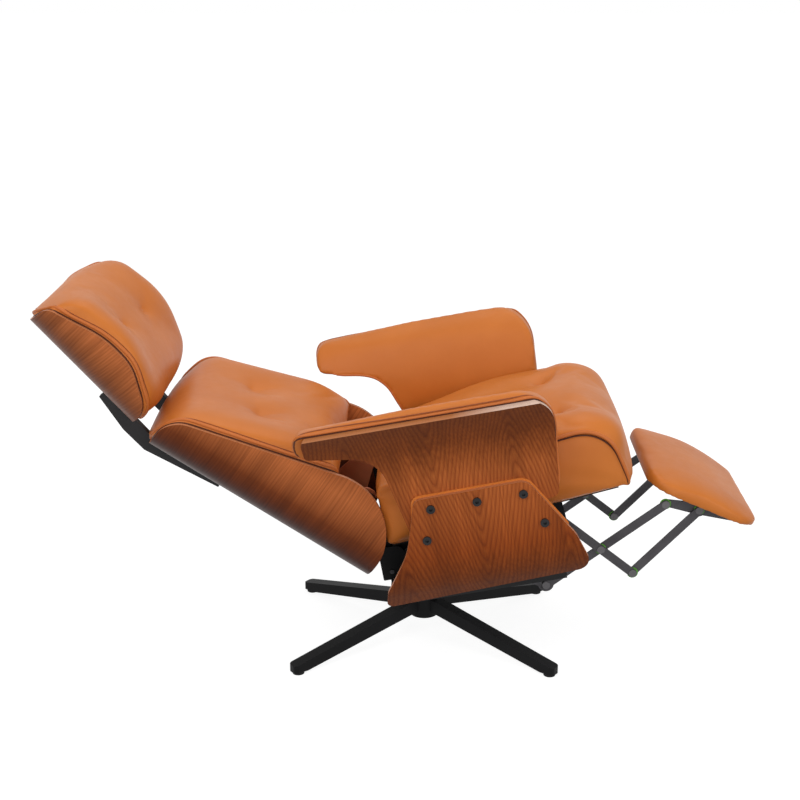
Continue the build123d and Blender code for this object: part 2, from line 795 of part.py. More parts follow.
# Spine bars joining the back and head shells
for side, name in side_names("spine_bar"):
    with BuildPart() as spine_bar:
        with BuildSketch(side_plane(plate_start(side, bar_in, bar_w))):
            with BuildLine():
                Polyline(back_point(bar_low, 0), back_point(back_high + bar_free, 0),
                         head_point(-bar_free, 0), head_point(bar_high, 0), head_point(bar_high, -bar_end),
                         head_point(0, -bar_depth),
                         back_point(back_high, -bar_depth), back_point(bar_low, -bar_end), close=True)
            make_face()
        extrude(amount=bar_w)
    save(spine_bar.part, name)

# Back brackets on the hinge
hinge_point = seat_point(*hinge_at)
hinge_back = turned(hinge_point[0] - back_x, hinge_point[1] - back_z, -(180.0 - back_rise))
hinge_u = hinge_back[0]
hinge_n = -hinge_back[1]
for side, name in side_names("back_bracket"):
    with BuildPart() as back_bracket:
        start = hinge_in if side > 0 else -hinge_in - plate_t
        with BuildSketch(reclined_side(back_foot, back_rise, start)):
            with BuildLine():
                rounded_loop([(hinge_u - foot_l / 2, shell_t, 2),
                              (hinge_u - arm_half, hinge_n - arm_half, 12),
                              (hinge_u - arm_half, hinge_n + arm_half, arm_half - 1),
                              (hinge_u + arm_half, hinge_n + arm_half, arm_half - 1),
                              (hinge_u + foot_l / 2, shell_t, 2)])
            make_face()
            with Locations((hinge_u, hinge_n)):
                Circle(hinge_r + run_gap, mode=Mode.SUBTRACT)
        extrude(amount=plate_t)
        with BuildSketch(reclined_side(back_foot, back_rise, hinge_in - foot_w if side > 0 else -hinge_in)):
            with Locations((hinge_u, shell_t + plate_t / 2)):
                Rectangle(foot_l, plate_t)
        extrude(amount=foot_w)
    save(back_bracket.part, name)

# Footrest linkage
links = [("lift_link", 2, seat_point(*lift_at), lift_tip), ("cross_link", 1, cross_tail, cross_tip),
         ("carry_link", 1, lift_tip, carry_tip)]
link_holes = {"lift_link": [(cross_mid, pin_r), (lift_tip, pin_r)],
              "cross_link": [(cross_mid, pin_r + run_gap), (cross_tip, pin_r), (cross_tail, pin_r)],
              "carry_link": [(lift_tip, pin_r + run_gap), (carry_tip, pin_r)]}
lift_point = seat_point(*lift_at)
stud_to = layer(3) + plate_t + head_t
for stem, index, start, end in links:
    run = math.dist(start, end)
    rise = math.degrees(math.atan2(end[1] - start[1], end[0] - start[0]))
    for side, name in side_names(stem):
        with BuildPart() as link:
            with BuildSketch(side_plane(plate_start(side, layer(index), plate_t))):
                with Locations(((start[0] + end[0]) / 2, (start[1] + end[1]) / 2)):
                    SlotCenterToCenter(run, link_w, rotation=rise)
                for spot, hole_r in link_holes[stem]:
                    with Locations(spot):
                        Circle(hole_r, mode=Mode.SUBTRACT)
            extrude(amount=plate_t)
            if stem == "lift_link":
                stud_from = layer(index) + plate_t
                with BuildSketch(side_plane(plate_start(side, stud_from, stud_to - stud_from))):
                    with Locations(lift_point):
                        Circle(pin_r)
                extrude(amount=stud_to - stud_from)
        save(link.part, name)

crank_run = math.dist(crank_foot, cross_tail)
crank_rise = math.degrees(math.atan2(cross_tail[1] - crank_foot[1], cross_tail[0] - crank_foot[0]))
with BuildPart() as crank_shaft:
    for side in (-1, 1):
        with BuildSketch(side_plane(plate_start(side, layer(0), plate_t))):
            with Locations(((crank_foot[0] + cross_tail[0]) / 2, (crank_foot[1] + cross_tail[1]) / 2)):
                SlotCenterToCenter(crank_run, link_w, rotation=crank_rise)
            with Locations(cross_tail):
                Circle(pin_r + open_slack + crank_rim)
                Circle(pin_r + open_slack, mode=Mode.SUBTRACT)
        extrude(amount=plate_t)
        stud_from = layer(0) + plate_t
        with BuildSketch(side_plane(plate_start(side, stud_from, stud_to - stud_from))):
            with Locations(crank_foot):
                Circle(pin_r)
        extrude(amount=stud_to - stud_from)
    with BuildSketch(side_plane(0)):
        with Locations(crank_foot):
            Circle(crank_tube_r)
    extrude(amount=layer(0), both=True)
save(crank_shaft.part, "crank_shaft")

rivets = [("lift_rivets", 2, [cross_mid, lift_tip]), ("cross_rivets", 1, [cross_tip, cross_tail]),
          ("carry_rivets", 1, [carry_tip])]
for name, index, spots in rivets:
    with BuildPart() as rivet_set:
        for side in (-1, 1):
            low = layer(index - 1) - touch_gap - head_t
            high = layer(index) + plate_t + head_t
            with BuildSketch(side_plane(plate_start(side, low, high - low))):
                with Locations(*spots):
                    Circle(pin_r)
            extrude(amount=high - low)
            for head_y in (low, high - head_t):
                with BuildSketch(side_plane(plate_start(side, head_y, head_t))):
                    for spot in spots:
                        wide = spot in (carry_tip, cross_tail) and head_y == low
                        with Locations(spot):
                            Circle(pin_r + open_slack + 3 if wide else head_r)
                extrude(amount=head_t)
    save(rivet_set.part, name)

washers = [("lift_washers", 2, [cross_mid, lift_tip]), ("cross_washers", 1, [cross_tip]),
           ("carry_washers", 1, [carry_tip])]
for name, index, spots in washers:
    with BuildPart() as washer_set:
        for side in (-1, 1):
            start = layer(index) - layer_gap + touch_gap
            with BuildSketch(side_plane(plate_start(side, start, layer_gap - touch_gap))):
                with Locations(*spots):
                    Circle(spacer_r)
                    Circle(pin_r, mode=Mode.SUBTRACT)
            extrude(amount=layer_gap - touch_gap)
    save(washer_set.part, name)

# Footrest: brackets, board, pad
tip_local = turned(cross_tip[0] - rest_x, cross_tip[1] - rest_z, rest_drop)
carry_local = turned(carry_tip[0] - rest_x, carry_tip[1] - rest_z, rest_drop)
rest_foot = (rest_x, rest_z)
half_w = link_w / 2
boss = pin_r + open_slack + 4
flange_rear = carry_local[0] + boss
flange_front = rest_front - 24
for side, name in side_names("footrest_bracket"):
    with BuildPart() as footrest_bracket:
        with BuildSketch(tilted_side(rest_foot, -rest_drop, plate_start(side, layer(0), plate_t))):
            with BuildLine():
                rounded_loop([(tip_local[0] - half_w, tip_local[1] - half_w * 0.8, half_w * 0.7),
                              (carry_local[0], carry_local[1] - half_w * 1.3, 20),
                              (flange_front, -half_w, 3), (flange_front, 0, 2), (flange_rear, 0, 2),
                              (carry_local[0] - boss * 0.3, carry_local[1] + boss * 0.9, 8),
                              (tip_local[0] - half_w * 0.4, tip_local[1] + half_w, half_w * 0.7)])
            make_face()
            with Locations(carry_local):
                Circle(boss)
            with Locations(tip_local):
                Circle(half_w)
                Circle(pin_r + run_gap, mode=Mode.SUBTRACT)
            with Locations(carry_local):
                Circle(pin_r + open_slack, mode=Mode.SUBTRACT)
        extrude(amount=plate_t)
        start = plate_start(side, layer(0) - flange_w, flange_w)
        with BuildSketch(tilted_side(rest_foot, -rest_drop, start)):
            with Locations(((flange_rear + flange_front) / 2, -flange_t / 2)):
                Rectangle(flange_front - flange_rear, flange_t)
        extrude(amount=flange_w)
    save(footrest_bracket.part, name)

drop = math.radians(rest_drop)
rest_len = rest_front - rest_rear
rest_mid = (rest_front + rest_rear) / 2
rest_plan = Plane(origin=(rest_x, 0, rest_z), x_dir=(math.cos(drop), 0, -math.sin(drop)),
                  z_dir=(math.sin(drop), 0, math.cos(drop)))
with BuildPart() as footrest_board:
    with BuildSketch(rest_plan):
        with Locations((rest_mid, 0)):
            RectangleRounded(rest_len - 2 * rest_board_in, 2 * (rest_half - rest_board_in),
                             rest_corner - rest_board_in)
    extrude(amount=rest_board_t)
save(footrest_board.part, "footrest_board")

pocket_in = rest_board_in - touch_gap
rest_edge_top = rest_board_t + rest_edge
rest_top = rest_board_t + rest_crown
rest_lip_top = rest_board_t + rest_lip
rest_ends = (rest_rear - rest_lip, rest_front + rest_lip)
rest_edge_loop = [(rest_ends[0], -rest_skirt, 0), (rest_ends[0], rest_lip_top + 1, 8),
                  (rest_mid, rest_edge_top, 300), (rest_ends[1], rest_lip_top, 0),
                  (rest_ends[1], -rest_skirt, 0)]
rest_mid_loop = [(rest_ends[0], -rest_skirt, 0), (rest_ends[0], rest_top - 12, 16), (rest_mid, rest_top, 300),
                 (rest_ends[1], rest_lip_top + 2, 0), (rest_ends[1], -rest_skirt, 0)]
with BuildPart() as footrest_pad:
    for y_share, share in crown_steps:
        with BuildSketch(tilted_side(rest_foot, -rest_drop, y_share * rest_half)):
            with BuildLine():
                rounded_loop(blended(rest_edge_loop, rest_mid_loop, share))
            make_face()
    loft()
    with BuildSketch(rest_plan):
        with Locations((rest_mid, 0)):
            RectangleRounded(rest_len, 2 * rest_half, rest_corner)
    extrude(amount=2 * rest_top, both=True, mode=Mode.INTERSECT)
    with BuildSketch(rest_plan.offset(-2 * rest_skirt)):
        with Locations((rest_mid, 0)):
            RectangleRounded(rest_len - 2 * pocket_in, 2 * (rest_half - pocket_in), rest_corner - pocket_in)
    extrude(amount=2 * rest_skirt + rest_board_t + touch_gap / 3, mode=Mode.SUBTRACT)
save(footrest_pad.part, "footrest_pad")
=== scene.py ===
"""The reclining swivel armchair as it looks: leather cushions, veneered bent plywood and black metal.

Metres. +X is forward, +Y the chair's left, +Z up, with the origin on the floor under the swivel.
"""
import json
import math
from collections import namedtuple

import bmesh
import bpy
from mathutils import Matrix, Vector
from mathutils.bvhtree import BVHTree
from mathutils.kdtree import KDTree


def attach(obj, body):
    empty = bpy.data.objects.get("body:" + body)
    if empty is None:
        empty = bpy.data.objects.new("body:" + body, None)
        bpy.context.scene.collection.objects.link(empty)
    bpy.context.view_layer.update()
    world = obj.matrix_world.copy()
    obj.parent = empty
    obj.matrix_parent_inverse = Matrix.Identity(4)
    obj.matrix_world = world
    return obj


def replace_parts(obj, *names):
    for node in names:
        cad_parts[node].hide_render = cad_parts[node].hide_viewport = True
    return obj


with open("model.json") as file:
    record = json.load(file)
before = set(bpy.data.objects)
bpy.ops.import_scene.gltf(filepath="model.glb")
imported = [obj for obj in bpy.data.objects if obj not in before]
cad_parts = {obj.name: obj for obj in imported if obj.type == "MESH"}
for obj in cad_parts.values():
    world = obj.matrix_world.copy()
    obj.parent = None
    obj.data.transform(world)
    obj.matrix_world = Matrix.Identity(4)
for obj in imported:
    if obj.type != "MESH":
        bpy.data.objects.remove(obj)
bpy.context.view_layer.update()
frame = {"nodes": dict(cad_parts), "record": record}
nodes = frame["nodes"]
scene = bpy.context.scene
hands = (("right", -1), ("left", 1))


class Place:
    """A part's own side view: u runs along the part and n out of its face."""

    def __init__(self, x, z, degrees, side):
        turn = math.radians(degrees)
        self.origin = Vector((x, 0, z))
        self.u = Vector((math.cos(turn), 0, math.sin(turn)))
        self.n = Vector((-math.sin(turn), 0, math.cos(turn))) * side

    def local(self, point):
        away = point - self.origin
        return Vector((away.dot(self.u), point.y, away.dot(self.n)))

    def world(self, u, y, n):
        return self.origin + self.u * u + self.n * n + Vector((0, y, 0))


# The pieces' side views at rest, and their half widths, as in the part's source.
chassis = Place(x=0, z=0.2, degrees=10.5, side=1)
seat = Place(x=-0.077, z=0.316, degrees=16, side=1)
back = Place(x=-0.11, z=0.209, degrees=146.95, side=-1)
head = Place(x=-0.622, z=0.559, degrees=132.1, side=-1)
footrest = Place(x=0.487, z=0.431, degrees=-22.6, side=1)
seat_half = 0.235
back_half = 0.248
head_half = 0.23
shell_t = 0.01


def srgb(red, green, blue):
    """A colour written in screen values, as linear light."""
    def linear(value):
        share = value / 255
        return share / 12.92 if share <= 0.04045 else ((share + 0.055) / 1.055) ** 2.4
    return (linear(red), linear(green), linear(blue), 1)


def grey(level):
    """A neutral colour in linear light."""
    return (level, level, level, 1)


white = grey(1)


def add(tree, kind, values=None, **settings):
    """A shader node; a value is a constant or the socket that feeds it."""
    node = tree.nodes.new("ShaderNode" + kind)
    for key, value in settings.items():
        setattr(node, key, value)
    for key, value in (values or {}).items():
        if isinstance(value, bpy.types.NodeSocket):
            tree.links.new(value, node.inputs[key])
        else:
            node.inputs[key].default_value = value
    return node


def math_node(tree, operation, first, second=0.0):
    return add(tree, "Math", {0: first, 1: second}, operation=operation).outputs[0]


def weighted(tree, total, value, weight):
    """A sum with one more weighted value in it."""
    return math_node(tree, "ADD", total, math_node(tree, "MULTIPLY", value, weight))


def noise(tree, spot, scale, detail):
    """Soft random patches, as shares from 0 to 1."""
    return add(tree, "TexNoise", {"Vector": spot, "Scale": scale, "Detail": detail}).outputs["Fac"]


def stretched(tree, spot, scale, detail):
    """Noise drawn out along the grain."""
    mapped = add(tree, "Mapping", {"Vector": spot, "Scale": scale}).outputs["Vector"]
    return noise(tree, mapped, 1, detail)


def ramp(tree, share, stops):
    """A colour that changes through the stops as a share goes from 0 to 1."""
    node = add(tree, "ValToRGB", {"Fac": share})
    elements = node.color_ramp.elements
    while len(elements) < len(stops):
        elements.new(0.5)
    for element, (position, colour) in zip(elements, stops):
        element.position = position
        element.color = colour
    return node.outputs["Color"]


def clouded(tree, cloud, dark, light):
    """Two tones that pass into each other in soft clouds."""
    return ramp(tree, cloud, [(0.3, dark), (0.7, light)])


def spread(tree, share, low, high):
    """A value that goes from low to high with a share."""
    return add(tree, "MapRange", {"Value": share, "To Min": low, "To Max": high}).outputs["Result"]


def between(tree, value, start, end):
    """The share of the way from start to end at which the value lies."""
    return add(tree, "MapRange", {"Value": value, "From Min": start, "From Max": end}).outputs["Result"]


first_colour = 6
second_colour = 7
mixed_colour = 2


def multiplied(tree, share, first, second):
    """One colour times another; the mix node's colours are reached by their sockets' numbers."""
    values = {"Factor": share, first_colour: first, second_colour: second}
    mix = add(tree, "Mix", values, data_type="RGBA", blend_type="MULTIPLY")
    return mix.outputs[mixed_colour]


def material(name):
    """A new material with its node tree and its shader."""
    made = bpy.data.materials.new(name)
    made.use_nodes = True
    tree = made.node_tree
    return made, tree, tree.nodes["Principled BSDF"]


def feed(tree, shader, colour, roughness, height, strength, depth):
    """Joins colour, roughness and a height field to the shader."""
    bump = add(tree, "Bump", {"Height": height, "Strength": strength, "Distance": depth})
    tree.links.new(colour, shader.inputs["Base Color"])
    tree.links.new(roughness, shader.inputs["Roughness"])
    tree.links.new(bump.outputs["Normal"], shader.inputs["Normal"])


def leather_finish(name, dark, light):
    """Smooth corrected-grain leather: fine pebbles, faint stretch lines, cloudy dye."""
    made, tree, shader = material(name)
    spot = add(tree, "TexCoord").outputs["Object"]
    cloud = noise(tree, spot, scale=9, detail=4)
    stretch = noise(tree, spot, scale=55, detail=6)
    pebble = add(tree, "TexVoronoi", {"Vector": spot, "Scale": 620, "Randomness": 1}).outputs["Distance"]
    pebble_share = 0.55
    feed(
        tree,
        shader,
        colour=clouded(tree, cloud, dark, light),
        roughness=spread(tree, stretch, low=0.36, high=0.5),
        height=weighted(tree, stretch, pebble, pebble_share),
        strength=0.14,
        depth=0.0009,
    )
    shader.inputs["Specular IOR Level"].default_value = 0.22
    return made


arch_point = 0.985
ripple_rings = 1.5


def veneer_finish(name, tones, straight, rise, arch, wander, fade, painted_light_stops):
    """Stained veneer: growth rings that run into arches along the grain, streaks and open pores.

    Rings are counted per metre across and along the grain; arch is their swing, its pitch and its start.
    Painted light and shade scale the colour lighter or darker between two places along the grain.
    """
    made, tree, shader = material(name)
    grain = add(tree, "Attribute", attribute_name="grain").outputs["Vector"]
    parts = add(tree, "SeparateXYZ", {"Vector": grain})
    across = parts.outputs["X"]
    along = parts.outputs["Y"]
    drift = stretched(tree, grain, (7, 2, 7), detail=1)
    ripple = stretched(tree, grain, (28, 2, 28), detail=2)
    streak = stretched(tree, grain, (330, 5, 330), detail=3)
    broad = stretched(tree, grain, (22, 2, 22), detail=3)
    swing, pitch, start = arch
    turn = math_node(tree, "ADD", math_node(tree, "MULTIPLY", across, pitch), start)
    rounded = math_node(tree, "MULTIPLY", math_node(tree, "SINE", turn), arch_point)
    lines = math_node(tree, "MULTIPLY", math_node(tree, "ARCSINE", rounded), swing)
    lines = weighted(tree, lines, along, rise)
    lines = weighted(tree, lines, across, straight)
    lines = weighted(tree, lines, drift, wander)
    lines = weighted(tree, lines, ripple, ripple_rings)
    ring = math_node(tree, "FRACT", lines)
    dark, middle, light = tones
    ringed = ramp(tree, ring, [(0.0, dark), (0.22, middle), (0.6, light), (0.85, middle), (1.0, dark)])
    streaked = ramp(tree, streak, [(0.3, (0.7, 0.66, 0.64, 1)), (0.65, grey(1.08))])
    patched = clouded(tree, broad, (0.78, 0.76, 0.75, 1), grey(1.12))
    stained = multiplied(tree, 1.0, multiplied(tree, 0.8, ringed, streaked), patched)
    # Painted light and shade: the colour is made lighter or darker by its place along the grain.
    painted_light_scale = ramp(tree, between(tree, along, *fade), [(place, (*tint, 1)) for place, tint in painted_light_stops])
    feed(
        tree,
        shader,
        colour=multiplied(tree, 1.0, stained, painted_light_scale),
        roughness=spread(tree, streak, low=0.42, high=0.32),
        height=streak,
        strength=0.1,
        depth=0.0004,
    )
    shader.inputs["Specular IOR Level"].default_value = 0.1
    return made


ply_layers = 5
layer_share = 0.65
fibre_share = 0.35


def ply_edge_finish(name, tones, fade):
    """The cut edge of plywood: darker layers through it, and a tone that changes along the piece."""
    made, tree, shader = material(name)
    depth = add(tree, "Attribute", attribute_name="ply").outputs["Fac"]
    layer = math_node(tree, "FRACT", math_node(tree, "MULTIPLY", depth, ply_layers))
    spot = add(tree, "TexCoord").outputs["Object"]
    fibre = noise(tree, spot, scale=380, detail=3)
    shade = weighted(tree, math_node(tree, "MULTIPLY", layer, layer_share), fibre, fibre_share)
    banded = ramp(tree, shade, [(0.25, white), (0.6, white), (0.8, (0.53, 0.42, 0.33, 1))])
    grain = add(tree, "Attribute", attribute_name="grain").outputs["Vector"]
    length_place = add(tree, "SeparateXYZ", {"Vector": grain}).outputs["X"]
    first, last = tones
    toned = ramp(tree, between(tree, length_place, *fade), [(0.0, first), (1.0, last)])
    feed(
        tree,
        shader,
        colour=multiplied(tree, 1.0, toned, banded),
        roughness=spread(tree, fibre, low=0.45, high=0.6),
        height=fibre,
        strength=0.15,
        depth=0.0004,
    )
    return made


rough_swing = 0.06


def coat_finish(name, dark, light, rough, metallic=0.0, scale=700, gloss=0.2):
    """Paint, steel or moulded plastic with a fine texture."""
    made, tree, shader = material(name)
    spot = add(tree, "TexCoord").outputs["Object"]
    cloud = noise(tree, spot, scale=18, detail=3)
    feed(
        tree,
        shader,
        colour=clouded(tree, cloud, dark, light),
        roughness=spread(tree, cloud, rough - rough_swing, rough + rough_swing),
        height=noise(tree, spot, scale, detail=2),
        strength=0.12,
        depth=0.0003,
    )
    shader.inputs["Metallic"].default_value = metallic
    shader.inputs["Specular IOR Level"].default_value = gloss
    return made


hide = leather_finish("tan_leather", srgb(195, 110, 43), srgb(204, 118, 49))
piping = leather_finish("welt_leather", srgb(190, 104, 48), srgb(200, 112, 53))
# Painted shade: a near-black cord standing in for the shade in a seam's groove and under the seat's
# piping.
painted_seam_shade = leather_finish("seam_leather", srgb(68, 28, 12), srgb(84, 38, 18))
# Painted shade: a darker cord standing in for the shade in the fold beside a welt.
painted_fold_shade = leather_finish("fold_leather", srgb(136, 70, 34), srgb(150, 80, 40))
panel_veneer = veneer_finish(
    "panel_veneer",
    tones=(srgb(132, 66, 28), srgb(150, 78, 34), srgb(160, 87, 39)),
    straight=0,
    rise=26,
    arch=(6.6, 18.8, 0.2),
    wander=5,
    fade=(0.46, -0.2),
    # Painted shade at the arm's flared top and towards the lower panel's curved-in bottom, painted light
    # between.
    painted_light_stops=[
        (0.0, (0.58, 0.55, 0.5)),
        (0.14, (0.68, 0.64, 0.6)),
        (0.26, (1.25, 1.28, 1.4)),
        (0.38, (1.15, 1.1, 1.1)),
        (0.5, (0.84, 0.68, 0.5)),
        (0.63, (0.56, 0.52, 0.5)),
        (1.0, (0.6, 0.6, 0.62)),
    ],
)
shell_look = {
    "tones": (srgb(140, 76, 40), srgb(148, 82, 44), srgb(154, 87, 48)),
    "straight": 150,
    "rise": 3,
    "arch": (0.4, 20, 0),
    "wander": 9,
}
back_veneer = veneer_finish(
    "back_veneer",
    fade=(0.25, 0.4),
    # Painted shade towards the shell's back line and painted light towards the rims of its wings.
    painted_light_stops=[(0.0, (0.24, 0.18, 0.26)), (0.5, (0.62, 0.5, 0.42)), (1.0, (1.9, 1.95, 1.9))],
    **shell_look,
)
head_veneer = veneer_finish(
    "head_veneer",
    fade=(0.23, 0.33),
    # Painted light towards the rims of the shell's wings, a little painted shade nearer its back line.
    painted_light_stops=[(0.0, (0.8, 0.8, 0.9)), (0.5, (1.25, 1.3, 1.4)), (1.0, (1.7, 1.75, 1.8))],
    **shell_look,
)
arm_edge = ply_edge_finish("arm_ply_edge", (srgb(176, 108, 56), srgb(216, 186, 168)), fade=(0.13, 0.24))
rim_edge = ply_edge_finish("rim_ply_edge", (srgb(190, 120, 76), srgb(196, 126, 82)), fade=(0.0, 0.5))
black_coat = coat_finish("black_powder_coat", srgb(15, 15, 16), srgb(24, 24, 25), rough=0.48, gloss=0.1)
bar_coat = coat_finish("dark_grey_coat", srgb(36, 35, 36), srgb(48, 47, 48), rough=0.46)
brown_coat = coat_finish("brown_coat", srgb(190, 108, 72), srgb(206, 120, 80), rough=0.4)
steel = coat_finish("dark_steel_finish", srgb(64, 62, 65), srgb(80, 78, 81), rough=0.42, metallic=0.2)
rivet = coat_finish("rivet_finish", srgb(88, 86, 88), srgb(104, 102, 104), rough=0.36, metallic=0.4)
green = coat_finish("green_nylon_finish", srgb(76, 140, 48), srgb(100, 164, 64), rough=0.45)
oxide = coat_finish(
    "black_oxide_finish", srgb(22, 22, 24), srgb(32, 32, 35), rough=0.16, metallic=0.2, gloss=0.3
)
plastic = coat_finish("glide_plastic_finish", srgb(18, 18, 18), srgb(28, 28, 28), rough=0.6)
board = coat_finish("black_board_finish", srgb(24, 22, 21), srgb(36, 33, 31), rough=0.8, scale=260)

slot_finish = {
    "leather": hide,
    "walnut_ply": panel_veneer,
    "frame_board": board,
    "black_metal": black_coat,
    "dark_steel": steel,
    "green_nylon": green,
    "glide_plastic": plastic,
}
node_finish = {
    "panel_bolts": oxide,
    "lift_rivets": rivet,
    "cross_rivets": rivet,
    "carry_rivets": rivet,
    "spine_bar_right": bar_coat,
    "spine_bar_left": bar_coat,
    "back_bracket_right": brown_coat,
    "back_bracket_left": brown_coat,
}
bodies_of = frame["record"]["behaviour"]["bodies"]
slot_of = {row["node"]: row["material_slot"] for row in frame["record"]["subparts"]}
for name, node in nodes.items():
    for holder in node.material_slots:
        holder.material = node_finish.get(name, slot_finish[slot_of[name]])


def body_of(node):
    """The moving body that a CAD node belongs to."""
    return next(name for name, row in bodies_of.items() if node in row)


def welded(name):
    """A CAD node's mesh with its split points joined again."""
    form = bmesh.new()
    form.from_mesh(nodes[name].data)
    form.transform(nodes[name].matrix_world)
    bmesh.ops.remove_doubles(form, verts=form.verts, dist=1e-5)
    form.normal_update()
    return form


def drawn(form, name):
    """A named mesh made from a form, which is then freed."""
    mesh = bpy.data.meshes.new(name)
    form.to_mesh(mesh)
    form.free()
    return mesh


def linked(name, data):
    """A new object in the scene."""
    piece = bpy.data.objects.new(name, data)
    scene.collection.objects.link(piece)
    return piece


def show(name, mesh, body, slot, *finishes):
    """A visible piece that rides on a body; its material slot argument is not used."""
    piece = linked(name, mesh)
    for finish in finishes:
        mesh.materials.append(finish)
    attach(piece, body)
    return piece


def ply_piece(node, place, veneer, edge, grain, on_edge, outward, shift=0.0):
    """Bent plywood: veneer that follows the bend, and layers on its cut edges."""
    form = welded(node)
    cut = {face for face in form.faces if on_edge(face)}
    lie = form.verts.layers.float_vector.new("grain")
    depth = form.verts.layers.float.new("ply")
    for vertex in form.verts:
        vertex[lie] = grain(place.local(vertex.co)) + Vector((shift, 0, 0))
        faces = [face for face in vertex.link_faces if face not in cut]
        vertex[depth] = 1.0 if any(outward(face) for face in faces) else 0.0
    for face in form.faces:
        face.material_index = 1 if face in cut else 0
    mesh = drawn(form, node + "_veneered")
    mesh.polygons.foreach_set("use_smooth", [True] * len(mesh.polygons))
    mesh.normals_split_custom_set([corner.vector for corner in nodes[node].data.corner_normals])
    piece = show(node + "_veneered", mesh, body_of(node), "walnut_ply", veneer, edge)
    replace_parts(piece, node)


lower_grain_shift = -0.077
panel_edge_slope = 0.6


def panel_grain(point):
    """Where a panel's point lies across the grain, along it and through the ply."""
    return Vector((point.x, point.z, point.y))


def panel_edge(face):
    """Whether a face belongs to a panel's cut edge."""
    return abs(face.normal.y) < panel_edge_slope


def panel_outer(side):
    """A test for the faces on a panel's outer side."""
    def test(face):
        return face.normal.y * side > 0
    return test


for hand, side in hands:
    for kind, edge, shift in (("lower_panel", rim_edge, lower_grain_shift), ("arm_panel", arm_edge, 0.0)):
        ply_piece(
            f"{kind}_{hand}",
            chassis,
            panel_veneer,
            edge,
            grain=panel_grain,
            on_edge=panel_edge,
            outward=panel_outer(side),
            shift=shift,
        )

end_slope = 0.5
end_height = 0.02
rim_slope = 0.35
rim_height = 0.025
wing_skin = 0.002


def shell_grain(point):
    """Where a shell's point lies across the grain and, round the bend, along it."""
    return Vector((point.x, abs(point.y) + point.z, 0))


def shell_edge(place, half):
    """A test for the faces on a shell's two ends and on the rims of its wings."""
    def test(face):
        middle = place.local(face.calc_center_median())
        across = abs(face.normal.y)
        end = abs(face.normal.dot(place.u)) > end_slope and across < end_slope and middle.z < end_height
        rim = abs(middle.y) > half - shell_t and across < rim_slope and middle.z > rim_height
        return end or rim
    return test


def shell_outer(place, half):
    """A test for the faces on a shell's outer side."""
    def test(face):
        return face.normal.dot(place.n) < 0 or abs(face.calc_center_median().y) > half - wing_skin
    return test


for node, place, veneer, half in (
    ("back_shell", back, back_veneer, back_half),
    ("head_shell", head, head_veneer, head_half),
):
    ply_piece(
        node,
        place,
        veneer,
        rim_edge,
        grain=shell_grain,
        on_edge=shell_edge(place, half),
        outward=shell_outer(place, half),
    )


def solids(form):
    """The points of each separate solid of a mesh."""
    left = set(form.verts)
    while left:
        reached = [left.pop()]
        for vertex in reached:
            for edge in vertex.link_edges:
                other = edge.other_vert(vertex)
                if other in left:
                    left.remove(other)
                    reached.append(other)
        yield reached


rim_show = 0.003
rim_share = 0.9


def wide_washers(node):
    """The links' washers, a little wider than the links' round ends so that their rims show."""
    form = welded(node)
    for points in solids(form):
        xs = [point.co.x for point in points]
        zs = [point.co.z for point in points]
        middle = Vector((min(xs) + max(xs), 0, min(zs) + max(zs))) / 2
        radius = (max(xs) - min(xs)) / 2
        for point in points:
            away = Vector((point.co.x - middle.x, 0, point.co.z - middle.z))
            if away.length > radius * rim_share:
                point.co += away.normalized() * rim_show
    mesh = drawn(form, node + "_wide")
    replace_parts(show(node + "_wide", mesh, body_of(node), "green_nylon", green), node)


for kind in ("lift", "cross", "carry"):
    wide_washers(f"{kind}_washers")

sharp_angle = math.radians(25)


def sharp_lines(node, keep):
    """The chains of sharp edges on a CAD node whose points pass the test, longest first."""
    form = welded(node)
    joined = {}
    for edge in form.edges:
        if len(edge.link_faces) != 2 or edge.calc_face_angle() < sharp_angle:
            continue
        ends = [vertex.co.copy().freeze() for vertex in edge.verts]
        if all(keep(end) for end in ends):
            joined.setdefault(ends[0], []).append(ends[1])
            joined.setdefault(ends[1], []).append(ends[0])
    form.free()
    chains = []
    while joined:
        start = min(joined, key=lambda point: (len(joined[point]), point.x, point.z, point.y))
        chain = [start]
        while True:
            onward = joined.pop(chain[-1], [])
            ahead = [point for point in onward if point in joined]
            if not ahead:
                break
            chain.append(ahead[0])
        chains.append(chain)
    return sorted(chains, key=length, reverse=True)


def length(chain):
    """How long a chain of points is."""
    return sum((b - a).length for a, b in zip(chain, chain[1:]))


def even(chain, step):
    """The chain's points at an even spacing."""
    total = length(chain)
    count = max(2, round(total / step))
    found = []
    index = 0
    passed = 0.0
    for number in range(count + 1):
        goal = total * number / count
        while index < len(chain) - 2 and passed + (chain[index + 1] - chain[index]).length < goal:
            passed += (chain[index + 1] - chain[index]).length
            index += 1
        part = chain[index + 1] - chain[index]
        share = (goal - passed) / part.length if part.length else 0
        found.append(chain[index] + part * min(1.0, share))
    return found


def smooth(form, points, rounds):
    """Draws each point towards its neighbours, some rounds over."""
    for turn in range(rounds):
        bmesh.ops.smooth_vert(
            form, verts=points, factor=0.5, use_axis_x=True, use_axis_y=True, use_axis_z=True
        )


def holding(gap, firmness, reach):
    """How firmly something holds a point at a distance, from 1 beside it down to 0."""
    return min(1.0, max(0.0, firmness - gap / reach))


# Extra filling at a place in a cushion's side view: its reach, its push and the half width where it ends.
Puff = namedtuple("Puff", "u n reach_u reach_n push_u push_n half")
# A half width so large that the filling hardly fades across the cushion.
endless = 9

tuft_reach = 0.085
tuft_depth = 0.009
tuft_hollow = 0.013
tuft_creases = 2.5
crease_depth = 0.009
crease_run = 0.03
crease_sharpness = 6
tuft_firmness = 1.4
tuft_hold = 0.009
carrier_firmness = 1.6
carrier_hold = 0.006
seam_firmness = 1.5
seam_hold = 0.008
seam_step = 0.004
far_away = Vector((9, 9, 9))
wrap_reach = 0.03
even_rounds = 3
loose_grip = 0.3
swell_frames = 20


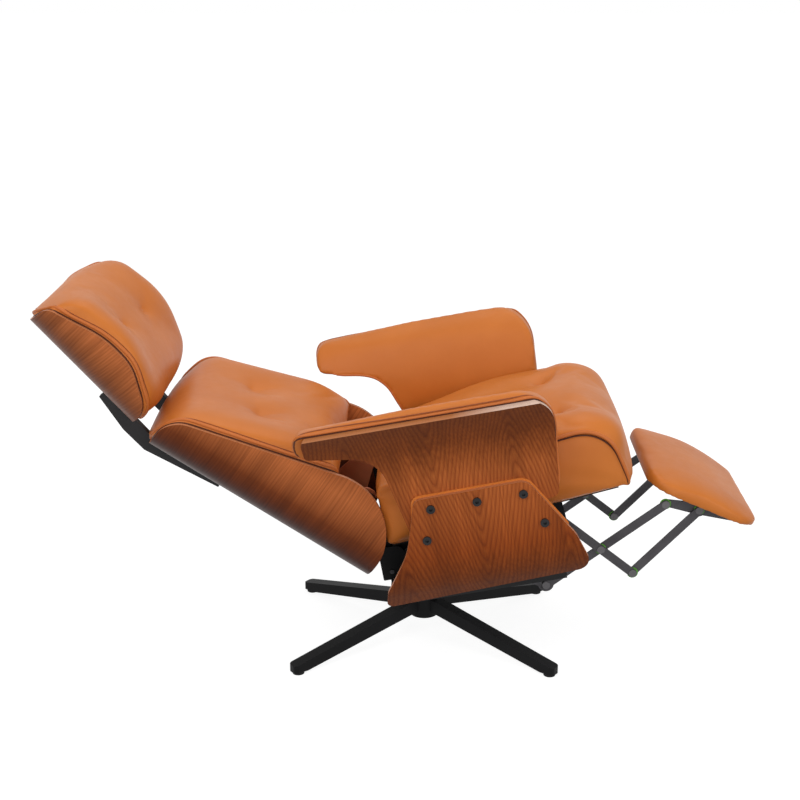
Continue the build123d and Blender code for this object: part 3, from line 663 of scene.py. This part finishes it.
class Cushion:
    """A leather cushion that starts a little slack and swells between what holds it.

    It swells under pressure as far as the cap. Soften and ironing count the rounds that smooth its tufts
    before and its loose leather after that. Wrap and rear draw it past its carrier, below and behind.
    """

    def __init__(
        self, node, carrier, place, fill, tufts=(), seams=(), voxel=0.005, slack=0.0, pressure=1.5,
        cap=0.005, soften=0, ironing=3, wrap=0.0, rear=0.0, puffs=(),
    ):
        self.node = node
        self.place = place
        self.fill = fill
        self.tufts = [place.world(u, y, n) for u, y, n in tufts]
        self.pressure = pressure
        self.cap = cap
        self.ironing = ironing
        self.puffs = puffs
        mesh = self.remeshed(voxel)
        self.piece = linked(node + "_filled", mesh)
        self.relax(mesh, soften)
        self.grip = self.grips(mesh, carrier, seams)
        normals = [vertex.normal.copy() for vertex in mesh.vertices]
        self.start = []
        for vertex, normal, grip in zip(mesh.vertices, normals, self.grip):
            vertex.co += (self.puffed(vertex.co) - normal * slack) * (1 - grip)
            vertex.co -= place.n * self.pulled(vertex.co)
            spot = place.local(vertex.co)
            vertex.co -= place.n * wrap * max(0.0, 1 - max(0.0, spot.z) / wrap_reach)
            vertex.co -= place.u * rear * max(0.0, 1 - max(0.0, spot.x) / wrap_reach)
            self.start.append(vertex.co.copy())
        for polygon in mesh.polygons:
            polygon.use_smooth = True

    def remeshed(self, voxel):
        """The CAD form in leather, with points spread evenly over it."""
        source = linked(self.node + "_form", nodes[self.node].data.copy())
        remesh = source.modifiers.new("Remesh", "REMESH")
        remesh.mode = "VOXEL"
        remesh.voxel_size = voxel
        graph = bpy.context.evaluated_depsgraph_get()
        mesh = bpy.data.meshes.new_from_object(source.evaluated_get(graph))
        bpy.data.objects.remove(source)
        mesh.name = self.node + "_filled"
        mesh.materials.clear()
        mesh.materials.append(hide)
        return mesh

    def puffed(self, point):
        """How far the filling pushes the leather out past the drawn form."""
        spot = self.place.local(point)
        moved = Vector()
        for puff in self.puffs:
            along = (spot.x - puff.u) / puff.reach_u
            out = (spot.z - puff.n) / puff.reach_n
            share = math.exp(-(along ** 2) - out ** 2)
            share *= max(0.0, 1 - (spot.y / puff.half) ** 2)
            moved += (self.place.u * puff.push_u + self.place.n * puff.push_n) * share
        return moved

    def sewn(self, point):
        """How firmly a tuft's thread holds this point."""
        firm = 0.0
        for tuft in self.tufts:
            away = self.place.local(point) - self.place.local(tuft)
            if abs(away.z) < tuft_reach / 2:
                firm = max(firm, holding(math.hypot(away.x, away.y), tuft_firmness, tuft_hold))
        return firm

    def pulled(self, point):
        """How far the sewn tufts draw this point in, with creases running out from each."""
        total = 0.0
        for tuft in self.tufts:
            away = self.place.local(point) - self.place.local(tuft)
            across = math.hypot(away.x, away.y)
            if across < tuft_reach and abs(away.z) < tuft_reach / 2:
                turn = math.atan2(away.y, away.x)
                crease = math.cos(tuft_creases * turn) ** crease_sharpness * across / tuft_reach
                total += tuft_depth * math.exp(-((across / tuft_hollow) ** 2))
                total += crease_depth * crease * math.exp(-((across / crease_run) ** 2))
        return total

    def relax(self, mesh, soften):
        """Evens the whole form a little and rounds the rim of each tuft's hollow."""
        form = bmesh.new()
        form.from_mesh(mesh)
        smooth(form, form.verts, even_rounds)
        near = [
            vertex
            for vertex in form.verts
            if any((vertex.co - tuft).length < tuft_reach for tuft in self.tufts)
        ]
        smooth(form, near, soften)
        form.to_mesh(mesh)
        form.free()

    def iron(self, mesh):
        """Takes out the small puckers where the leather isn't held."""
        form = bmesh.new()
        form.from_mesh(mesh)
        loose = [vertex for vertex, grip in zip(form.verts, self.grip) if grip < loose_grip]
        smooth(form, loose, self.ironing)
        form.to_mesh(mesh)
        form.free()

    def grips(self, mesh, carrier, seams):
        """How firmly each point is held: 1 where it lies on its carrier, at a seam or at a tuft."""
        form = welded(carrier)
        tree = BVHTree.FromBMesh(form)
        form.free()
        stops = [stop for seam in seams for stop in even(seam, seam_step)] or [far_away]
        near = KDTree(len(stops))
        for index, stop in enumerate(stops):
            near.insert(stop, index)
        near.balance()
        held = []
        for vertex in mesh.vertices:
            carrier_gap = tree.find_nearest(vertex.co)[3]
            seam_gap = near.find(vertex.co)[2]
            on_carrier = holding(carrier_gap, carrier_firmness, carrier_hold)
            on_seam = holding(seam_gap, seam_firmness, seam_hold)
            held.append(max(on_carrier, on_seam, self.sewn(vertex.co)))
        return held

    def loosen(self):
        """Gives the cushion cloth that swells with air."""
        group = self.piece.vertex_groups.new(name="held")
        for index, grip in enumerate(self.grip):
            if grip > 0:
                group.add([index], grip, "REPLACE")
        cloth = self.piece.modifiers.new("Swell", "CLOTH")
        settings = cloth.settings
        settings.quality = 4
        settings.mass = 0.4
        settings.tension_stiffness = 30
        settings.compression_stiffness = 30
        settings.shear_stiffness = 12
        settings.bending_stiffness = 3
        settings.use_pressure = True
        settings.uniform_pressure_force = self.pressure
        settings.vertex_group_mass = "held"
        settings.effector_weights.gravity = 0
        cloth.collision_settings.use_collision = False
        cloth.point_cache.frame_start = 1
        cloth.point_cache.frame_end = swell_frames

    def settle(self):
        """Keeps the swollen form, with no point further than the cap from its start."""
        modifier = self.piece.modifiers.get("Swell")
        if modifier:
            graph = bpy.context.evaluated_depsgraph_get()
            swollen = self.piece.evaluated_get(graph).data.vertices
            ends = [vertex.co.copy() for vertex in swollen]
            for vertex, start, end in zip(self.piece.data.vertices, self.start, ends):
                step = end - start
                if step.length > self.cap:
                    step *= self.cap / step.length
                vertex.co = start + step
            self.piece.modifiers.remove(modifier)
            self.piece.vertex_groups.clear()
            self.iron(self.piece.data)
        finer = self.piece.modifiers.new("Subdivision", "SUBSURF")
        finer.levels = 1
        finer.render_levels = 1
        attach(self.piece, body_of(self.node))
        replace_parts(self.piece, self.node)


side_reach = 0.002
deck_clear = 0.003
tail_clear = 0.005
cushion_low = 0.193


def seat_line(side):
    """The seam along the seat's top edge and down its front."""
    def on_seam(point):
        spot = seat.local(point)
        return abs(spot.y - side * seat_half) < side_reach and spot.z > deck_clear and spot.x > tail_clear
    return sharp_lines("seat_cushion", on_seam)[0]


def rim_line(node, place, half, low, side):
    """The inner edge of a shell's wing above a place along it."""
    chains = sharp_lines(node, lambda p: side * p.y > half / 2 and place.local(p).x > low)
    return next(chain for chain in chains if max(abs(p.y) for p in chain) < half - shell_t / 2)


seat_lines = {side: seat_line(side) for hand, side in hands}
back_rims = {side: rim_line("back_shell", back, back_half, cushion_low, side) for hand, side in hands}
head_rims = {side: rim_line("head_shell", head, head_half, 0.0, side) for hand, side in hands}

arm_tip_u = -0.165
arm_tip_n = 0.37
arm_top_n = 0.4
arm_nose_u = 0.306
arm_nose_n = 0.214
arm_under_n = 0.215


def arm_upper(point):
    """On the arm's top, tip and nose, where the double welt runs along the ply."""
    spot = chassis.local(point)
    tip = spot.x < arm_tip_u and spot.z > arm_tip_n
    nose = spot.x > arm_nose_u and spot.z > arm_nose_n
    return tip or nose or spot.z > arm_top_n


def arm_lines(hand):
    """The pad's seam beside the ply, then the seam under its inner side."""
    node = f"arm_pad_{hand}"
    upper = sharp_lines(node, arm_upper)
    lower = sharp_lines(node, lambda p: not arm_upper(p) and chassis.local(p).z > arm_under_n)
    outer = max(upper[:2], key=lambda chain: max(abs(p.y) for p in chain))
    inner = min(lower[:2], key=lambda chain: min(abs(p.y) for p in chain))
    return [outer, inner]


arm_seams = {side: arm_lines(hand) for hand, side in hands}
cushions = [
    Cushion(
        "seat_cushion",
        carrier="seat_deck",
        place=seat,
        fill=0.8,
        tufts=[(0.398, 0.118, 0.145), (0.416, -0.118, 0.145)],
        seams=list(seat_lines.values()),
        voxel=0.006,
        slack=0.004,
        pressure=4,
        cap=0.022,
        soften=70,
        wrap=0.012,
        rear=0.008,
        puffs=[
            Puff(u=0.545, n=0.12, reach_u=0.06, reach_n=0.05, push_u=0.007, push_n=0.004, half=endless),
            Puff(u=0.28, n=0.16, reach_u=0.13, reach_n=0.06, push_u=0, push_n=0.012, half=endless),
        ],
    ),
    Cushion(
        "back_cushion",
        carrier="back_shell",
        place=back,
        fill=0.75,
        tufts=[(0.427, 0.078, 0.144), (0.398, -0.078, 0.152)],
        seams=list(back_rims.values()),
        voxel=0.006,
        slack=0.004,
        pressure=4,
        cap=0.022,
        soften=90,
        ironing=4,
        puffs=[Puff(u=0.575, n=0.045, reach_u=0.05, reach_n=0.045, push_u=0.013, push_n=0, half=0.23)],
    ),
    Cushion(
        "head_cushion",
        carrier="head_shell",
        place=head,
        fill=0.75,
        tufts=[(0.145, 0.08, 0.112), (0.16, -0.08, 0.112)],
        seams=list(head_rims.values()),
        slack=0.004,
        pressure=3,
        cap=0.018,
        soften=140,
        ironing=26,
        puffs=[
            Puff(u=0.0, n=0.07, reach_u=0.05, reach_n=0.045, push_u=-0.026, push_n=0, half=0.2),
            Puff(u=0.3, n=0.05, reach_u=0.055, reach_n=0.06, push_u=0.014, push_n=0.026, half=0.22),
        ],
    ),
    Cushion(
        "footrest_pad",
        carrier="footrest_board",
        place=footrest,
        fill=0.8,
        ironing=14,
        puffs=[
            Puff(u=0.24, n=0.0, reach_u=0.07, reach_n=0.06, push_u=0.012, push_n=-0.005, half=endless),
        ],
    ),
]
for hand, side in hands:
    cushions.append(
        Cushion(
            f"arm_pad_{hand}",
            carrier=f"arm_panel_{hand}",
            place=chassis,
            fill=0.85,
            seams=arm_seams[side],
            ironing=6,
        )
    )
for cushion in cushions:
    cushion.loosen()
for number in range(1, swell_frames + 1):
    scene.frame_set(number)
for cushion in cushions:
    cushion.settle()
scene.frame_set(1)
filled = {cushion.node: cushion.piece for cushion in cushions}

welt_step = 0.008
welt_end = 0.4
welt_growth = 0.3
outer_clear = 0.05
laying_rounds = 2


def welt(name, body, points, radius, finish):
    """A cord along a seam, drawn thin at its ends: sewn piping, or a dark cord of painted shade."""
    curve = bpy.data.curves.new(name, "CURVE")
    curve.dimensions = "3D"
    curve.bevel_depth = radius
    curve.bevel_resolution = 3
    curve.use_fill_caps = True
    spline = curve.splines.new("NURBS")
    last = len(points) - 1
    spline.points.add(last)
    for number, (point, stop) in enumerate(zip(spline.points, points)):
        point.co = (*stop, 1)
        point.radius = min(1.0, welt_end + welt_growth * min(number, last - number))
    spline.order_u = 4
    spline.use_endpoint_u = True
    curve.materials.append(finish)
    piece = linked(name, curve)
    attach(piece, body)


def laid(piece, points, lift, facing=0):
    """A seam's path, evened out and laid on a cushion's finished surface or on its side that faces out."""
    tree = BVHTree.FromObject(piece, bpy.context.evaluated_depsgraph_get())
    outward = Vector((0, facing * outer_clear, 0))
    found = []
    for point in even(points, welt_step):
        spot, normal = tree.find_nearest(point)[:2]
        if facing:
            seen, slope = tree.ray_cast(point + outward, -outward, 2 * outer_clear)[:2]
            if seen:
                spot, normal = seen, slope
        found.append(spot + normal * lift)
    for turn in range(laying_rounds):
        inside = [(a + b * 2 + c) / 4 for a, b, c in zip(found, found[1:], found[2:])]
        found = [found[0]] + inside + [found[-1]]
    return found


# A row of cord beside a seam: its step away from the seam, its lift off the leather and its radius.
Row = namedtuple("Row", "name step lift radius finish")
# The groove and crease rows are dark cords of painted shade, in the seam's groove and in the fold beside
# the welt.
rim_rows = (
    Row("groove", step=0.0015, lift=0.0004, radius=0.0016, finish=painted_seam_shade),
    Row("welt", step=0.0065, lift=0.0008, radius=0.0036, finish=piping),
    Row("crease", step=0.0104, lift=0.0003, radius=0.001, finish=painted_fold_shade),
)
# The arm's groove and crease rows are dark cords of painted shade too.
arm_rows = (
    Row("groove", step=0.0015, lift=0.0006, radius=0.0017, finish=painted_seam_shade),
    Row("welt", step=0.0055, lift=0.0012, radius=0.0028, finish=piping),
    Row("crease", step=0.0098, lift=0.0004, radius=0.0014, finish=painted_fold_shade),
)
arm_row_lean = 0.5
arm_seam_radius = 0.0028
rear_clear = 0.05
seat_welt_lift = 0.0018
seat_welt_radius = 0.004
seam_lift = 0.0008
seat_seam_radius = 0.0018
seat_seam_drop = 0.0065
seat_seam_behind = 0.003


def seat_welts(hand, side):
    """The piping along the seat's seam, and a dark cord below it that is painted shade under the piping.
    """
    cushion = filled["seat_cushion"]
    run = [p for p in even(seat_lines[side], welt_step) if seat.local(p).x > rear_clear]
    below = [p - seat.n * seat_seam_drop - seat.u * seat_seam_behind for p in run]
    welt(f"seat_welt_{hand}", "seat", laid(cushion, run, seat_welt_lift), seat_welt_radius, piping)
    # Painted shade: the dark cord below the piping stands in for the shade under it.
    welt(f"seat_seam_{hand}", "seat", laid(cushion, below, seam_lift, side), seat_seam_radius, painted_seam_shade)


def rim_welts(hand, side, name, rims, place):
    """The rows of cord where the back or head cushion meets its shell's rim, some of them dark cords of
    painted shade.
    """
    inward = Vector((0, -side, 0))
    for row in rim_rows:
        path = [p + inward * row.step + place.n * row.step for p in rims[side]]
        path = laid(filled[f"{name}_cushion"], path, row.lift)
        welt(f"{name}_{row.name}_{hand}", "back", path, row.radius, row.finish)


def arm_welts(hand, side):
    """The double welt beside the arm's ply, with dark cords of painted shade in the groove and fold beside
    it, and the piping under the pad's inner side.
    """
    inward = Vector((0, -side, 0))
    pad = filled[f"arm_pad_{hand}"]
    top_seam, under_seam = arm_seams[side]
    for row in arm_rows:
        path = [p + inward * row.step * arm_row_lean + chassis.n * row.step for p in top_seam]
        welt(f"arm_{row.name}_{hand}", "chassis", laid(pad, path, row.lift), row.radius, row.finish)
    welt(f"arm_seam_{hand}", "chassis", laid(pad, under_seam, seam_lift), arm_seam_radius, piping)


for hand, side in hands:
    seat_welts(hand, side)
    rim_welts(hand, side, "back", back_rims, back)
    rim_welts(hand, side, "head", head_rims, head)
    arm_welts(hand, side)


def background_rays(tree):
    """1 for rays that show the background: the camera's, a reflection's and those through clear parts."""
    rays = add(tree, "LightPath").outputs
    mirrored = math_node(tree, "MAXIMUM", rays["Is Glossy Ray"], rays["Is Transmission Ray"])
    return math_node(tree, "MAXIMUM", rays["Is Camera Ray"], mirrored)


floor_reach = 30
floor_glow = 0.88


def white_stage():
    """A white floor that shows white to the camera and still takes the chair's soft shadow."""
    form = bmesh.new()
    bmesh.ops.create_grid(form, x_segments=1, y_segments=1, size=floor_reach)
    mesh = drawn(form, "floor")
    made, tree, shader = material("white_floor")
    tree.nodes.remove(shader)
    seen = math_node(tree, "MULTIPLY", background_rays(tree), floor_glow)
    glow = add(tree, "Emission", {"Color": white, "Strength": seen})
    speckle = add(tree, "TexNoise", {"Scale": 40}).outputs["Fac"]
    matte = add(tree, "BsdfDiffuse", {"Color": clouded(tree, speckle, grey(0.3), grey(0.32))})
    both = add(tree, "AddShader", {0: glow.outputs[0], 1: matte.outputs[0]})
    tree.links.new(both.outputs[0], tree.nodes["Material Output"].inputs["Surface"])
    mesh.materials.append(made)
    floor = linked("floor", mesh)


def white_world(strength):
    """A white background that lights the chair less than it shows."""
    world = bpy.data.worlds.new("studio")
    scene.world = world
    world.use_nodes = True
    tree = world.node_tree
    level = spread(tree, background_rays(tree), strength, 1.0)
    tree.links.new(level, tree.nodes["Background"].inputs["Strength"])
    tree.nodes["Background"].inputs["Color"].default_value = white


def soft_light(name, spot, aim, size, power):
    """A round lamp at a spot, turned towards its aim."""
    lamp = bpy.data.lights.new(name, "AREA")
    lamp.shape = "DISK"
    lamp.size = size
    lamp.energy = power
    piece = linked(name, lamp)
    piece.location = spot
    piece.rotation_euler = (Vector(aim) - Vector(spot)).to_track_quat("-Z", "Y").to_euler()


camera_spot = (-0.00495, -3.06726, 1.53566)
camera_yaw = math.radians(0.9468)
camera_dip = math.radians(17.586)
focal_pixels = 1450
image_pixels = 800


def photo_camera():
    """The photograph's viewpoint, worked out for an 800 by 800 image."""
    ahead = math.cos(camera_dip)
    forward = Vector((-math.sin(camera_yaw) * ahead, math.cos(camera_yaw) * ahead, -math.sin(camera_dip)))
    right = Vector((math.cos(camera_yaw), math.sin(camera_yaw), 0))
    up = right.cross(forward)
    lens = bpy.data.cameras.new("photo_camera")
    lens.sensor_width = 36
    lens.lens = lens.sensor_width * focal_pixels / image_pixels
    lens.clip_end = 100
    camera = linked("photo_camera", lens)
    turn = Matrix((right, up, -forward)).transposed().to_4x4()
    camera.matrix_world = Matrix.Translation(camera_spot) @ turn
    scene.camera = camera


white_stage()
white_world(strength=0.42)
soft_light("key", spot=(-1.6, -2.6, 3.2), aim=(0, 0, 0.5), size=2.4, power=51)
soft_light("fill", spot=(2.6, -2.2, 2.2), aim=(0.1, 0, 0.5), size=2.2, power=26)
soft_light("front", spot=(0.5, -3.6, 1.0), aim=(0.1, 0, 0.4), size=2.2, power=27)
soft_light("top", spot=(0.2, 0.8, 3.6), aim=(0, 0, 0.4), size=2.6, power=29)
photo_camera()
scene.view_settings.view_transform = "Standard"
